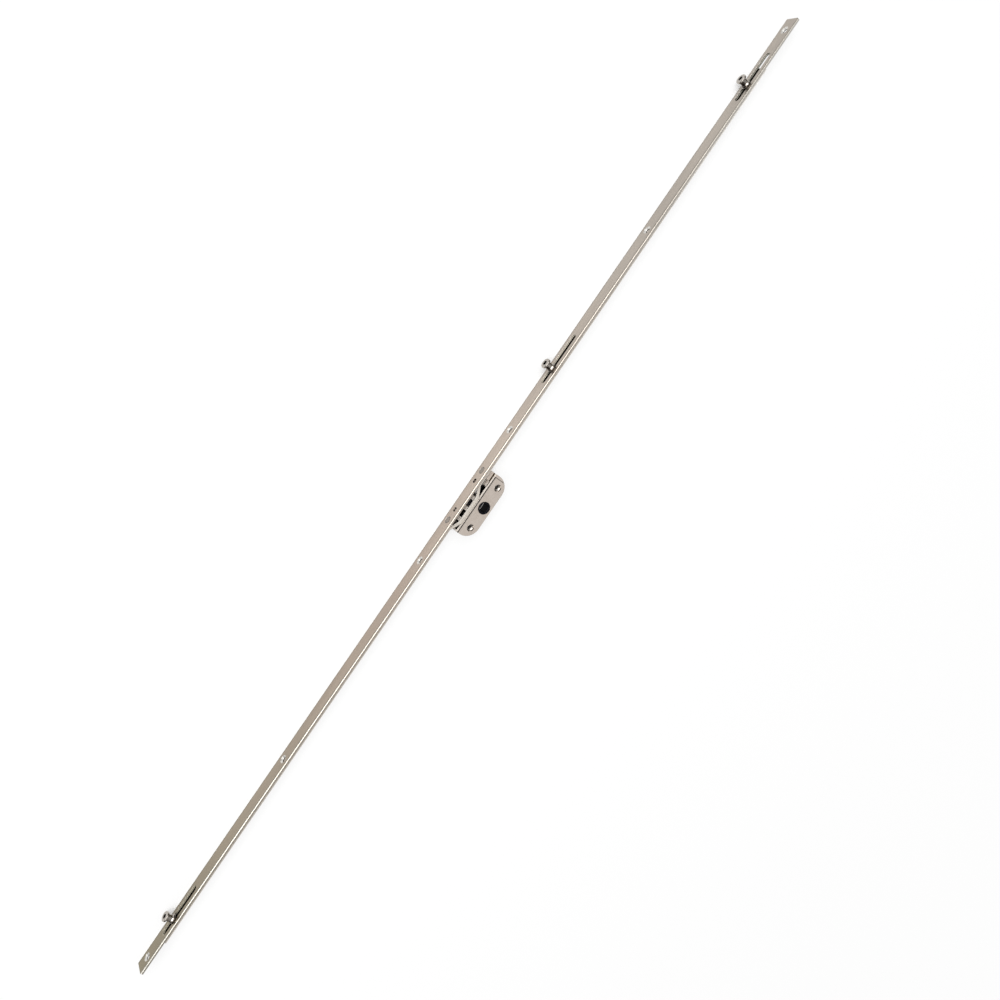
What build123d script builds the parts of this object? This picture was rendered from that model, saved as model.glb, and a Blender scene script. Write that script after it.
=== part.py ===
from build123d import *
import os
from math import atan2, cos, radians, sin, tan

# Window espagnolette gearbox: a steel faceplate with a gear case behind it. A square spindle turns a toothed
# sector, the sector drives a ladder-punched rod along the faceplate, and the rod carries three mushroom cams.
# +X runs along the faceplate towards its upper end, +Y points out of its front face, +Z runs along the spindle.
# The origin is on the spindle axis, halfway through the case. All lengths are in millimetres.

# Faceplate: a strip with rolled front edges and a shallow hollow back, so that it seats on its two edges
FACE_LENGTH = 1025.0
FACE_WIDTH = 16.0
FACE_DEPTH = 2.35
WEB_THICKNESS = 2.2
FLANGE_THICKNESS = 1.75
FACE_EDGE_RADIUS = 1.0
FACE_CORNER_RADIUS = 1.2
BACKSET = 20.7

# Fixing screws through the faceplate
SCREW_HOLE_DIAMETER = 4.6
SCREW_SINK_DIAMETER = 7.6
INNER_SCREW_SPACINGS = [141.0, 571.0]
END_SCREW_MARGIN = 12.5

# Cam slots in the faceplate
SLOT_LENGTH = 52.0
SLOT_WIDTH = 6.2
LOWER_SLOT_MARGIN = 63.5
UPPER_SLOT_MARGIN = 62.5
MIDDLE_SLOT_CENTRE = 147.0
PEEP_HOLE_DIAMETER = 4.4
PEEP_HOLE_OFFSET = 15.5

# Drive
STROKE = 18.0
QUARTER_TURN = 90.0
ROD_END_MARGIN = 20.5
ROD_WIDTH = 12.0
ROD_THICKNESS = 2.3
ROD_CLEARANCE = 0.15
CAM_SETTINGS = {"lower": -0.5, "middle": -1.5, "upper": -0.5}
ROD_SLOT_SIDE_PLAY = 0.7
ROD_SLOT_END_PLAY = 1.0

# Ladder in the middle of the rod, cranked back towards the spindle
LADDER_DEPTH = 9.6
LADDER_HALF_LENGTH = 13.3
RAMP_LENGTH = 11.0
CRANK_RADIUS = 3.0
RUNG_PITCH = 11.0
RUNG_WIDTH = 3.8
LADDER_WINDOW_WIDTH = 7.0
WINDOW_CORNER_RADIUS = 0.5

# Gear case
CASE_THICKNESS = 12.0
CASE_TOP_DEPTH = 11.6
CASE_BOTTOM_DEPTH = 28.3
CASE_CORNER_RADIUS = 13.0
CASE_FLOOR = 2.0
CASE_END_WALL = 1.6
COVER_THICKNESS = 1.5
COVER_SEAM = 0.15
COVER_LIP = 0.5
TOP_BAR_HEIGHT = 1.6
TOP_BAR_THICKNESS = 3.2
FAR_RAIL_THICKNESS = 3.0
END_RIM_WIDTH = 2.6
CAVITY_END_ROOM = 3.0
CAVITY_FLOOR = 4.6
CAST_EDGE_RADIUS = 0.4

# Lug at the upper end of the case that carries it on the faceplate
LUG_LENGTH = 8.45
LUG_THICKNESS = 5.2
LUG_SHELF_DROP = 0.8
LUG_GROOVE_WIDTH = 2.1
LUG_GROOVE_DROP = 2.6
LUG_GROOVE_RISE = 1.1

# Posts and rivets between the faceplate and the case
POST_RUNG_GAP = 2.3
POST_PAST_BUSH = 5.2
POST_WALL_GAP = 0.45
POST_HEAD_DIAMETER = 6.7
POST_HEAD_THICKNESS = 1.2
POST_DIAMETER = 5.0
POST_SHANK_DIAMETER = 3.6
POST_TAIL_LENGTH = 2.4
RIVET_LENGTH = 8.0
PLAY = 0.04

# Handle screw bushes
BUSH_SPACING = 43.0
BUSH_DIAMETER = 7.0
BUSH_BORE_DIAMETER = 5.0
BUSH_MOUTH_DIAMETER = 6.4

# Follower: hub, square socket and toothed sector
SQUARE_SIDE = 7.0
HUB_DIAMETER = 12.0
RUNNING_CLEARANCE = 0.05
HUB_RECESS = 0.15
SOCKET_CHAMFER = 0.5
HUB_ROOM = 0.45
SECTOR_THICKNESS = 5.0
SECTOR_ROOT_RADIUS = 9.4
SECTOR_HALF_ANGLE = 43.5
SECTOR_ROOM = 0.5
SHOULDER_RADIUS = 7.1
SHOULDER_THICKNESS = 7.4
TOOTH_ANGLE = 27.8
TOOTH_ROOT_WIDTH = 5.3
TOOTH_WIDEST = 6.2
TOOTH_TIP_WIDTH = 5.3
TOOTH_FOOT_RADIUS = 8.5
TOOTH_WIDEST_RADIUS = 12.0
TOOTH_TIP_RADIUS = 13.8
TOOTH_CORNER_RADIUS = 0.7

# Mushroom cams, each turning on its own stem in a seat that the rod carries
SEAT_BARREL_DIAMETER = 6.0
SEAT_FLANGE_DIAMETER = 9.0
SEAT_FLANGE_THICKNESS = 0.8
SEAT_TAIL_DIAMETER = 4.6
SEAT_BORE_DIAMETER = 3.1
CAM_HEIGHT = 9.2
CAM_HEAD_DIAMETER = 9.5
CAM_HEAD_THICKNESS = 2.2
CAM_NECK_DIAMETER = 6.4
CAM_FOOT_DIAMETER = 7.6
CAM_FOOT_THICKNESS = 0.9
CAM_ECCENTRICITY = 0.6
CAM_STEM_DIAMETER = 3.0
CAM_DISH_DIAMETER = 7.4
CAM_DISH_DEPTH = 0.5
HEX_KEY_SIZE = 4.0
HEX_KEY_DEPTH = 3.0
WASHER_DIAMETER = 8.0
WASHER_THICKNESS = 0.6
STEM_END_DIAMETER = 4.8
STEM_END_THICKNESS = 0.8

# Places worked out from the sizes above. Each cam's setting is its distance from its slot's centre at mid-stroke.
face_end = FACE_LENGTH / 2
slot_centres = {"lower": LOWER_SLOT_MARGIN - face_end, "middle": MIDDLE_SLOT_CENTRE,
                "upper": face_end - UPPER_SLOT_MARGIN}
cam_offsets = {name: slot_centres[name] + setting for name, setting in CAM_SETTINGS.items()}
screw_spacings = INNER_SCREW_SPACINGS + [FACE_LENGTH - 2 * END_SCREW_MARGIN]
web_back = BACKSET - WEB_THICKNESS
rod_front = web_back - ROD_CLEARANCE
rod_back = rod_front - ROD_THICKNESS
rod_middle = rod_front - ROD_THICKNESS / 2
ladder_middle = BACKSET - LADDER_DEPTH
rod_rest = -STROKE / 2
rod_low_end = cam_offsets["lower"] - ROD_END_MARGIN
rod_high_end = cam_offsets["upper"] + ROD_END_MARGIN
long_slot_start = RUNG_PITCH + RUNG_WIDTH / 2
clear_of_rung = long_slot_start + STROKE / 2 + POST_RUNG_GAP + POST_DIAMETER / 2
clear_of_bush = BUSH_SPACING / 2 + POST_PAST_BUSH
post_offset = max(clear_of_rung, clear_of_bush)
case_top = BACKSET - CASE_TOP_DEPTH
case_bottom = BACKSET - CASE_BOTTOM_DEPTH
case_near = CASE_THICKNESS / 2
case_far = -CASE_THICKNESS / 2
case_end = post_offset + POST_DIAMETER / 2 + POST_WALL_GAP + CASE_END_WALL
case_length = 2 * case_end
cover_inside = case_near - COVER_THICKNESS
cover_top = case_top - COVER_LIP
bar_low = case_top - TOP_BAR_HEIGHT
cover_end = case_end - END_RIM_WIDTH
bar_back = case_near - TOP_BAR_THICKNESS
floor_inside = case_far + CASE_FLOOR
rail_back = case_far + FAR_RAIL_THICKNESS
shelf = case_top - LUG_SHELF_DROP
cavity_end = TOOTH_TIP_RADIUS + CAVITY_END_ROOM
lug_start = case_end - LUG_LENGTH


def block(low, high):
    """A box between two opposite corners."""
    size = [high[i] - low[i] for i in range(3)]
    middle = [(high[i] + low[i]) / 2 for i in range(3)]
    return Pos(*middle) * Box(*size)


def bar_along_z(diameter, low, high, x=0.0, y=0.0):
    """A round bar along the spindle axis."""
    return Pos(x, y, (low + high) / 2) * Cylinder(diameter / 2, high - low)


def bar_along_y(diameter, low, high, x=0.0, z=0.0):
    """A round bar square to the front face."""
    return Pos(x, (low + high) / 2, z) * Rot(X=-90) * Cylinder(diameter / 2, high - low)


def cone_along_y(diameter_low, diameter_high, low, high, x=0.0):
    """A cone square to the front face."""
    cone = Cone(diameter_low / 2, diameter_high / 2, high - low)
    return Pos(x, (low + high) / 2, 0) * Rot(X=-90) * cone


def slot_along_x(length, width, low, high, x=0.0):
    """A slot with round ends that runs along the faceplate."""
    sketch = Plane.XZ * SlotOverall(length, width)
    return Pos(x, high, 0) * extrude(sketch, high - low)


def screw_places():
    """The fixing screws' places along the faceplate."""
    return [side * spacing / 2 for spacing in screw_spacings for side in (-1, 1)]


def faceplate():
    """Strip with a shallow hollow back, the cam slots, countersunk screw holes and the two flush rivet seats."""
    section = Plane.YZ * Pos(BACKSET - FACE_DEPTH / 2, 0) * Rectangle(FACE_DEPTH, FACE_WIDTH)
    front_corners = section.vertices().sort_by(Axis.Y)[-2:]
    section = fillet(front_corners, FACE_EDGE_RADIUS)
    plate = Pos(-face_end, 0, 0) * extrude(section, FACE_LENGTH, dir=(1, 0, 0))
    outline = Plane.XZ * RectangleRounded(FACE_LENGTH, FACE_WIDTH, FACE_CORNER_RADIUS)
    plate = plate & Pos(0, BACKSET, 0) * extrude(outline, FACE_DEPTH)
    channel = FACE_WIDTH / 2 - FLANGE_THICKNESS
    behind = BACKSET - FACE_DEPTH - 1
    plate -= block((-FACE_LENGTH, behind, -channel), (FACE_LENGTH, web_back, channel))
    for place in slot_centres.values():
        plate -= slot_along_x(SLOT_LENGTH, SLOT_WIDTH, behind, BACKSET + 1, place)
    sink_depth = (SCREW_SINK_DIAMETER - SCREW_HOLE_DIAMETER) / 2
    for place in screw_places():
        plate -= bar_along_y(SCREW_HOLE_DIAMETER, behind, BACKSET + 1, place)
        plate -= cone_along_y(SCREW_HOLE_DIAMETER, SCREW_SINK_DIAMETER, BACKSET - sink_depth, BACKSET, place)
    for side in (-1, 1):
        plate -= bar_along_y(PEEP_HOLE_DIAMETER, behind, BACKSET + 1, side * PEEP_HOLE_OFFSET)
        head_seat = BACKSET - POST_HEAD_THICKNESS
        plate -= bar_along_y(POST_HEAD_DIAMETER + PLAY, head_seat, BACKSET + 1, side * post_offset)
        plate -= bar_along_y(POST_SHANK_DIAMETER + PLAY, behind, BACKSET, side * post_offset)
    return plate


def drive_rod():
    """One flat strip: cranked in the middle, punched as a ladder there, with long slots round posts and screws."""
    half = ROD_THICKNESS / 2
    drop = rod_middle - ladder_middle
    slope = atan2(drop, RAMP_LENGTH)
    shift = half * tan(slope / 2)
    flat = LADDER_HALF_LENGTH
    top = LADDER_HALF_LENGTH + RAMP_LENGTH
    front = [(rod_low_end, rod_front), (-top - shift, rod_front), (-flat - shift, ladder_middle + half)]
    front += [(flat + shift, ladder_middle + half), (top + shift, rod_front), (rod_high_end, rod_front)]
    back = [(rod_high_end, rod_back), (top - shift, rod_back), (flat - shift, ladder_middle - half)]
    back += [(-flat + shift, ladder_middle - half), (-top + shift, rod_back), (rod_low_end, rod_back)]
    profile = make_face(Polyline(*front, *back, close=True))
    bends = [corner for corner in profile.vertices() if abs(corner.X) < top + 2 * half]
    profile = fillet(bends, CRANK_RADIUS)
    strip = Pos(0, 0, -ROD_WIDTH / 2) * extrude(profile, ROD_WIDTH)
    low = ladder_middle - ROD_THICKNESS
    high = BACKSET

    # Ladder windows either side of the middle rung, then the two long slots that run up the ramps
    window = RUNG_PITCH - RUNG_WIDTH
    for side in (-1, 1):
        opening = Pos(side * RUNG_PITCH / 2, 0) * RectangleRounded(window, LADDER_WINDOW_WIDTH, WINDOW_CORNER_RADIUS)
        strip -= Pos(0, high, 0) * extrude(Plane.XZ * opening, high - low)
        slot_end = case_end + STROKE / 2 + ROD_CLEARANCE * 3
        length = slot_end - long_slot_start
        middle = side * (long_slot_start + slot_end) / 2
        opening = Pos(middle, 0) * RectangleRounded(length, LADDER_WINDOW_WIDTH, WINDOW_CORNER_RADIUS)
        strip -= Pos(0, high, 0) * extrude(Plane.XZ * opening, high - low)

    # Slots that pass the fixing screws, and the holes that carry the cam seats
    passed_screws = [place for place in screw_places() if rod_low_end < place < rod_high_end]
    for place in passed_screws:
        length = STROKE + SCREW_HOLE_DIAMETER + 2 * ROD_SLOT_END_PLAY
        width = SCREW_HOLE_DIAMETER + 2 * ROD_SLOT_SIDE_PLAY
        strip -= slot_along_x(length, width, low, high, place)
    for place in cam_offsets.values():
        strip -= bar_along_y(SEAT_TAIL_DIAMETER + PLAY, low, high, place)
    return Pos(rod_rest, 0, 0) * strip


def case_outline():
    """The case seen along the spindle: square at the top, rounded at the two bottom corners."""
    height = case_top - case_bottom
    outline = Pos(0, (case_top + case_bottom) / 2) * Rectangle(case_length, height)
    bottom_corners = outline.vertices().sort_by(Axis.Y)[:2]
    return fillet(bottom_corners, CASE_CORNER_RADIUS)


def sector_room():
    """The space that the sector and the hub sweep."""
    tip = TOOTH_TIP_RADIUS + SECTOR_ROOM
    room = Circle(tip) & Pos(0, (tip - SECTOR_ROOM) / 2) * Rectangle(2 * tip, tip + SECTOR_ROOM)
    room += Circle(HUB_DIAMETER / 2 + HUB_ROOM)
    return room


def case_body():
    """Cast half that holds the sector, with a bar along the near top edge, an end rim and the faceplate lug."""
    body = Pos(0, 0, case_far) * extrude(case_outline(), CASE_THICKNESS)
    far_edges = body.edges().filter_by(GeomType.CIRCLE).filter_by_position(Axis.Z, case_far - 0.1, case_far + 0.1)
    body = fillet(far_edges, CAST_EDGE_RADIUS)
    outside = case_length

    # Seat for the cover: open at the lower end and at the bottom
    body -= block((-outside, -outside, cover_inside), (cover_end, cover_top, outside))

    # Room for the sector and hub, then the open trough in which the rod's ladder travels
    room = Pos(0, 0, floor_inside) * extrude(sector_room(), cover_inside - floor_inside)
    trough_low = (-case_end + CASE_END_WALL, CAVITY_FLOOR, floor_inside)
    trough_high = (cavity_end, case_top + 1, cover_inside)
    room += block(trough_low, trough_high)
    room &= block((-outside, -outside, floor_inside), (cavity_end, outside, cover_inside))
    bar = block((-case_end, bar_low, bar_back), (case_end, case_top + 2, case_near))
    far_rail = block((-case_end, bar_low, case_far), (case_end, case_top + 2, rail_back))
    body -= room - bar - far_rail

    # Shelf and groove at the upper end, with the lug that stands on them
    lug = block((lug_start, case_top - LUG_GROOVE_DROP, -LUG_THICKNESS / 2), (case_end, web_back, LUG_THICKNESS / 2))
    body -= block((cavity_end, shelf, rail_back), (outside, outside, bar_back))
    groove_back = bar_back - LUG_GROOVE_WIDTH
    groove_low = (cavity_end, case_top - LUG_GROOVE_DROP, groove_back)
    groove_high = (case_end + 1, case_top + LUG_GROOVE_RISE, bar_back)
    body += lug
    body -= block(groove_low, groove_high)

    # Holes: hub, bushes, the post's tail and the rivet's shank
    body -= bar_along_z(HUB_DIAMETER, case_far - 1, case_near)
    for side in (-1, 1):
        body -= bar_along_z(BUSH_DIAMETER + PLAY, case_far - 1, case_near + 1, side * BUSH_SPACING / 2)
    tail_low = CAVITY_FLOOR - POST_TAIL_LENGTH - PLAY
    body -= bar_along_y(POST_SHANK_DIAMETER + PLAY, tail_low, CAVITY_FLOOR + 1, -post_offset)
    body -= bar_along_y(POST_SHANK_DIAMETER + PLAY, web_back - RIVET_LENGTH - PLAY, web_back + 1, post_offset)
    return body


def case_cover():
    """Flat plate let into the near side of the case, flush with its rim."""
    plate = Pos(0, 0, cover_inside) * extrude(case_outline(), COVER_THICKNESS)
    seat = block((-case_length, -case_length, 0), (cover_end - COVER_SEAM, cover_top - COVER_SEAM, case_length))
    plate = plate & seat
    plate -= bar_along_z(HUB_DIAMETER, cover_inside - 1, case_near + 1)
    for side in (-1, 1):
        plate -= bar_along_z(BUSH_DIAMETER + PLAY, cover_inside - 1, case_near + 1, side * BUSH_SPACING / 2)
    return plate


def handle_bush(x):
    """Threaded bush for one handle screw, right through the case."""
    bush = bar_along_z(BUSH_DIAMETER, case_far, case_near, x)
    bush -= bar_along_z(BUSH_BORE_DIAMETER, case_far - 1, case_near + 1, x)
    mouth = (BUSH_MOUTH_DIAMETER - BUSH_BORE_DIAMETER) / 2
    for side in (-1, 1):
        cone = Cone(BUSH_BORE_DIAMETER / 2, BUSH_MOUTH_DIAMETER / 2, mouth)
        turned = cone if side > 0 else Rot(X=180) * cone
        bush -= Pos(x, 0, side * (case_near - mouth / 2)) * turned
    return bush


def lower_case_post():
    """Shouldered post between the faceplate and the lower end of the case, with a flush head."""
    x = -post_offset
    post = bar_along_y(POST_HEAD_DIAMETER, BACKSET - POST_HEAD_THICKNESS, BACKSET, x)
    post += bar_along_y(POST_SHANK_DIAMETER, CAVITY_FLOOR - POST_TAIL_LENGTH, BACKSET, x)
    post += bar_along_y(POST_DIAMETER, CAVITY_FLOOR, web_back, x)
    return post


def upper_case_rivet():
    """Flush rivet that holds the lug against the back of the faceplate."""
    x = post_offset
    rivet = bar_along_y(POST_HEAD_DIAMETER, BACKSET - POST_HEAD_THICKNESS, BACKSET, x)
    rivet += bar_along_y(POST_SHANK_DIAMETER, web_back - RIVET_LENGTH, BACKSET, x)
    return rivet


def tooth():
    """One sector tooth, pointing along +Y: narrow at its root, widest at the rungs and rounded at its tip."""
    widths = [TOOTH_ROOT_WIDTH, TOOTH_ROOT_WIDTH, TOOTH_WIDEST, TOOTH_TIP_WIDTH]
    heights = [TOOTH_FOOT_RADIUS, SECTOR_ROOT_RADIUS + 0.2, TOOTH_WIDEST_RADIUS, TOOTH_TIP_RADIUS]
    right = [(w / 2, h) for w, h in zip(widths, heights)]
    left = [(-w / 2, h) for w, h in zip(reversed(widths), reversed(heights))]
    outline = make_face(Polyline(*right, *left, close=True))
    tip = outline.vertices().sort_by(Axis.Y)[-2:]
    return fillet(tip, TOOTH_CORNER_RADIUS)


def follower():
    """Hub with a square socket and a two-toothed sector, turned to the start of its quarter turn."""
    half_angle = radians(SECTOR_HALF_ANGLE)
    reach = SECTOR_ROOT_RADIUS / cos(half_angle)
    wedge = make_face(Polyline((0, 0), (-reach * sin(half_angle), reach * cos(half_angle)),
                               (-reach, 2 * reach), (reach, 2 * reach),
                               (reach * sin(half_angle), reach * cos(half_angle)), close=True))
    web = Circle(SECTOR_ROOT_RADIUS) & wedge
    for side in (-1, 1):
        web += Rot(Z=side * TOOTH_ANGLE) * tooth()
    shoulder = Circle(SHOULDER_RADIUS) & wedge
    hub = Circle(HUB_DIAMETER / 2 - RUNNING_CLEARANCE)
    length = CASE_THICKNESS - 2 * HUB_RECESS
    solid = Pos(0, 0, -length / 2) * extrude(hub, length)
    solid += Pos(0, 0, -SECTOR_THICKNESS / 2) * extrude(web, SECTOR_THICKNESS)
    solid += Pos(0, 0, -SHOULDER_THICKNESS / 2) * extrude(shoulder, SHOULDER_THICKNESS)
    solid = Rot(Z=QUARTER_TURN / 2) * solid
    solid -= Box(SQUARE_SIDE, SQUARE_SIDE, CASE_THICKNESS)
    wide = SQUARE_SIDE + 2 * SOCKET_CHAMFER
    for side in (-1, 1):
        mouth = Plane.XY.offset(side * length / 2) * Rectangle(wide, wide)
        throat = Plane.XY.offset(side * (length / 2 - SOCKET_CHAMFER)) * Rectangle(SQUARE_SIDE, SQUARE_SIDE)
        solid -= loft([throat, mouth])
    return solid


def cam_seat(x):
    """Flanged bush riveted into the rod. Its barrel rides in the slot and its flange on the front face."""
    flange_back = BACKSET + ROD_CLEARANCE
    seat = bar_along_y(SEAT_FLANGE_DIAMETER, flange_back, flange_back + SEAT_FLANGE_THICKNESS, x)
    seat += bar_along_y(SEAT_BARREL_DIAMETER, rod_front, flange_back, x)
    seat += bar_along_y(SEAT_TAIL_DIAMETER, rod_back, rod_front, x)
    seat -= bar_along_y(SEAT_BORE_DIAMETER, rod_back - 1, BACKSET + CAM_HEIGHT, x)
    return seat


def mushroom_cam(x):
    """Mushroom-headed cam with a hexagon socket, set off centre on the stem that it turns on."""
    foot = BACKSET + ROD_CLEARANCE + SEAT_FLANGE_THICKNESS + ROD_CLEARANCE
    crown = BACKSET + CAM_HEIGHT
    head_back = crown - CAM_HEAD_THICKNESS
    foot_radius = CAM_FOOT_DIAMETER / 2
    neck_radius = CAM_NECK_DIAMETER / 2
    head_radius = CAM_HEAD_DIAMETER / 2
    points = [(0, foot), (foot_radius, foot), (foot_radius, foot + CAM_FOOT_THICKNESS)]
    points += [(neck_radius, foot + 2 * CAM_FOOT_THICKNESS), (neck_radius, head_back - CAM_FOOT_THICKNESS)]
    points += [(head_radius, head_back), (head_radius, crown), (CAM_DISH_DIAMETER / 2, crown)]
    points += [(0, crown - CAM_DISH_DEPTH)]
    profile = make_face(Polyline(*points, close=True))
    rim = [corner for corner in profile.vertices() if corner.X > neck_radius + 0.1 and corner.Y > head_back - 0.1
           and corner.X > CAM_DISH_DIAMETER / 2 + 0.1]
    profile = fillet(rim, CAM_HEAD_THICKNESS / 3)
    cam = revolve(profile, Axis.Y)
    key = Plane.XZ * RegularPolygon(HEX_KEY_SIZE / 2, 6, major_radius=False)
    cam -= Pos(0, crown, 0) * extrude(key, HEX_KEY_DEPTH)
    cam = Pos(x, 0, CAM_ECCENTRICITY) * cam
    stem_end = rod_back - WASHER_THICKNESS - 2 * PLAY
    cam += bar_along_y(CAM_STEM_DIAMETER, stem_end, foot + 1, x)
    cam += bar_along_y(STEM_END_DIAMETER, stem_end - STEM_END_THICKNESS, stem_end, x)
    return cam


def cam_washer(x):
    """Washer between the rod and the riveted end of a cam's stem."""
    washer = bar_along_y(WASHER_DIAMETER, rod_back - PLAY - WASHER_THICKNESS, rod_back - PLAY, x)
    washer -= bar_along_y(SEAT_BORE_DIAMETER, rod_back - 2, rod_back + 1, x)
    return washer


parts = {
    "faceplate": faceplate(),
    "drive_rod": drive_rod(),
    "case_body": case_body(),
    "case_cover": case_cover(),
    "follower": follower(),
    "lower_handle_bush": handle_bush(-BUSH_SPACING / 2),
    "upper_handle_bush": handle_bush(BUSH_SPACING / 2),
    "lower_case_post": lower_case_post(),
    "upper_case_rivet": upper_case_rivet(),
}
for name, offset in cam_offsets.items():
    place = offset + rod_rest
    parts[name + "_cam_seat"] = cam_seat(place)
    parts[name + "_mushroom_cam"] = mushroom_cam(place)
    parts[name + "_cam_washer"] = cam_washer(place)

os.makedirs("parts", exist_ok=True)
for name, shape in parts.items():
    export_step(shape, "parts/" + name + ".step")
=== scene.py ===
from math import atan2, cos, pi, radians, sin, tan

import bmesh
import bpy
from mathutils import Matrix, Vector


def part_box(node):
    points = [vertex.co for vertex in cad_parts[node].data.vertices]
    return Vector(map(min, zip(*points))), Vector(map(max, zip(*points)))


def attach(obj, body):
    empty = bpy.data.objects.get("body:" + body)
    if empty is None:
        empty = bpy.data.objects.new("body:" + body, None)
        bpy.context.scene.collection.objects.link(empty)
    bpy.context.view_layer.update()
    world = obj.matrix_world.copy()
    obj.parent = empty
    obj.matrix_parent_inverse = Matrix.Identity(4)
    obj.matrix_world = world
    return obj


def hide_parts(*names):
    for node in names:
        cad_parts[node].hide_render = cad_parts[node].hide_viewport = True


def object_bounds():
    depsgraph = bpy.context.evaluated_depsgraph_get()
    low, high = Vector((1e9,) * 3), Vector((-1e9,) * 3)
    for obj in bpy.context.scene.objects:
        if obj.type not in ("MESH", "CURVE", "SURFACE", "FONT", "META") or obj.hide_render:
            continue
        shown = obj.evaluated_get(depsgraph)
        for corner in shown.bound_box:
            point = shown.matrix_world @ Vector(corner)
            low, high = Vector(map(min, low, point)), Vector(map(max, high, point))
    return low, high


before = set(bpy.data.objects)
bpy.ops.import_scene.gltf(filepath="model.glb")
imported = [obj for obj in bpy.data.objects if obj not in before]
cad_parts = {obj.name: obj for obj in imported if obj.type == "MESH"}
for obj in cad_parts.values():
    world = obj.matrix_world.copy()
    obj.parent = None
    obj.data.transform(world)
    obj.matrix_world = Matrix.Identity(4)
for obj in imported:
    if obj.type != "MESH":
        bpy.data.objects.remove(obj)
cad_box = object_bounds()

# Studio: a white sheet on which the lock lies on the edge of its faceplate, with broad soft lamps round it.
# The sheet glows for the camera and for glossy rays, so that it stays white and the plating mirrors it,
# and it still takes a faint shadow.
mm = 0.001
scene = bpy.context.scene
scene.view_settings.view_transform = "Standard"
sheet_half_side = 6.0
sheet_glow = 0.8
sheet_white = (0.9, 0.9, 0.9, 1)
shadow_reach = 14 * mm
mirror_reach = 0.2


class Signal:
    """A shader socket that takes part in arithmetic. Each expression adds the Math node it stands for."""

    def __init__(self, finish, socket):
        self.finish = finish
        self.socket = socket

    def math(self, operation, first, second=0.0):
        return self.finish.node("ShaderNodeMath", {"operation": operation}, {0: first, 1: second})

    def __add__(self, other):
        return self.math("ADD", self, other)

    def __radd__(self, other):
        return self.math("ADD", other, self)

    def __sub__(self, other):
        return self.math("SUBTRACT", self, other)

    def __rsub__(self, other):
        return self.math("SUBTRACT", other, self)

    def __mul__(self, other):
        return self.math("MULTIPLY", self, other)

    def __rmul__(self, other):
        return self.math("MULTIPLY", other, self)

    def __truediv__(self, other):
        return self.math("DIVIDE", self, other)

    def __gt__(self, other):
        return self.math("GREATER_THAN", self, other)

    def __lt__(self, other):
        return self.math("LESS_THAN", self, other)

    def __abs__(self):
        return self.math("ABSOLUTE", self)

    def between(self, low, high):
        """One where the value lies between two others, else nought."""
        return (self > low) * (self < high)

    def nearest(self, places):
        """How far the value is from the nearest of some places."""
        least = abs(self - places[0])
        for place in places[1:]:
            least = self.math("MINIMUM", least, abs(self - place))
        return least


class Finish:
    """The node tree of one material, or of the world."""

    def __init__(self, owner):
        self.owner = owner
        owner.use_nodes = True
        self.tree = owner.node_tree
        self.tree.nodes.clear()

    def node(self, kind, settings, inputs, output=0):
        """Adds a node with its settings, then the values or links of its sockets, and gives one output."""
        made = self.tree.nodes.new(kind)
        for name, value in settings.items():
            if name == "stops":
                ramp = made.color_ramp
                for place, colour in value[2:]:
                    ramp.elements.new(place)
                for element, (place, colour) in zip(ramp.elements, value):
                    element.position = place
                    element.color = colour
            else:
                setattr(made, name, value)
        for name, value in inputs.items():
            if isinstance(value, Signal):
                self.tree.links.new(value.socket, made.inputs[name])
            else:
                made.inputs[name].default_value = value
        return Signal(self, made.outputs[output]) if made.outputs else None

    def mix(self, share, first, second, blend="MIX"):
        """Blends two colours."""
        settings = {"data_type": "RGBA", "blend_type": blend}
        return self.node("ShaderNodeMix", settings, {0: share, 6: first, 7: second}, 2)

    def ramp(self, share, *stops):
        """A grey slope from a signal. The stops are places and levels."""
        levels = [(place, (level, level, level, 1)) for place, level in stops]
        return self.node("ShaderNodeValToRGB", {"stops": levels}, {"Fac": share})

    def place(self, stretch=(1, 1, 1)):
        """Object coordinates, stretched to suit a pattern."""
        coordinates = self.node("ShaderNodeTexCoord", {}, {}, 3)
        return self.node("ShaderNodeMapping", {}, {"Vector": coordinates, "Scale": stretch})

    def axis(self, name):
        """One object coordinate, in metres."""
        coordinates = self.node("ShaderNodeTexCoord", {}, {}, 3)
        return self.node("ShaderNodeSeparateXYZ", {}, {0: coordinates}, "XYZ".index(name))

    def facing(self, name):
        """How far the surface faces along one axis, from minus one to one."""
        normal = self.node("ShaderNodeTexCoord", {}, {}, 1)
        return self.node("ShaderNodeSeparateXYZ", {}, {0: normal}, "XYZ".index(name))

    def noise(self, vector, scale, detail, roughness):
        """Soft noise round one half."""
        inputs = {"Vector": vector, "Scale": scale, "Detail": detail, "Roughness": roughness}
        return self.node("ShaderNodeTexNoise", {}, inputs)

    def metal(self, colour, roughness, height, depth, metallic=1.0):
        """Closes the tree as one bare or plated metal, with a fine bump whose depth is in metres."""
        relief = self.node("ShaderNodeBump", {}, {"Height": height, "Distance": depth, "Strength": 1.0})
        inputs = {"Base Color": colour, "Roughness": roughness, "Metallic": metallic, "Normal": relief}
        shader = self.node("ShaderNodeBsdfPrincipled", {}, inputs)
        self.node("ShaderNodeOutputMaterial", {}, {"Surface": shader})
        return self.owner


sheet_finish = Finish(bpy.data.materials.new("white_sheet"))


def ray(kind):
    """One where the sheet is met by a ray of a kind, else nought."""
    return sheet_finish.node("ShaderNodeLightPath", {}, {}, "Is " + kind + " Ray")


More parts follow.
